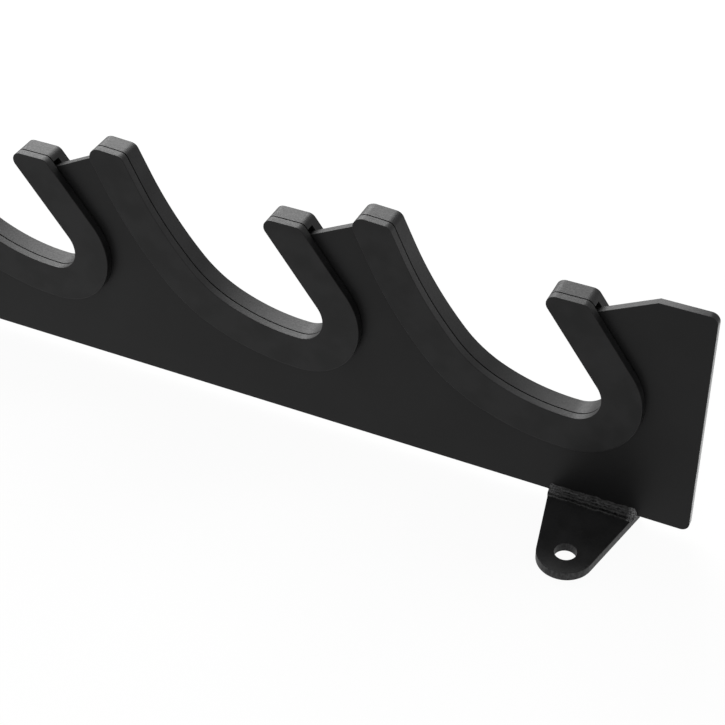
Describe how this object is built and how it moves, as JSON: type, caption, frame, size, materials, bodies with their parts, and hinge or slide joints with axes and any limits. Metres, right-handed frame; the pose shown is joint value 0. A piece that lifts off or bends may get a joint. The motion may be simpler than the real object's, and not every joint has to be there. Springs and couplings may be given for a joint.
{
  "type": "barbell storage rack",
  "caption": "Wall-mounted steel storage plate with a row of swept, plastic-lined slots that barbells rest in, and welded tabs for wall bolts.",
  "frame": {"origin": "midway between the centres of the holes of the two tabs, on the face of the tabs that lies on the wall", "axes": "+X along the plate, which is downwards when the rack hangs on a wall; +Y from the round ends of the tabs towards the plate, square to the plate's faces; +Z away from the wall, out of the slots' mouths"},
  "size_m": [1.2858, 0.084, 0.1967],
  "materials": {
    "powder_coat": "fine satin black powder coat",
    "liner_front": "matte black, lightly machined",
    "liner_back": "matte black, lightly machined",
    "screw_steel": "black oxide",
    "tab_coat": "semi-gloss black powder coat",
    "weld_coat": "black powder coat over a rippled bead"
  },
  "bodies": {
    "root": {"side_plate": "powder_coat", "front_liner_1": "liner_front", "front_liner_2": "liner_front", "front_liner_3": "liner_front", "front_liner_4": "liner_front", "front_liner_5": "liner_front", "front_liner_6": "liner_front", "back_liner_1": "liner_back", "back_liner_2": "liner_back", "back_liner_3": "liner_back", "back_liner_4": "liner_back", "back_liner_5": "liner_back", "back_liner_6": "liner_back", "liner_screws_1": "screw_steel", "liner_screws_2": "screw_steel", "liner_screws_3": "screw_steel", "liner_screws_4": "screw_steel", "liner_screws_5": "screw_steel", "liner_screws_6": "screw_steel", "tab_right": "tab_coat", "tab_left": "tab_coat", "weld_right": "weld_coat", "weld_left": "weld_coat"}
  },
  "joints": []
}
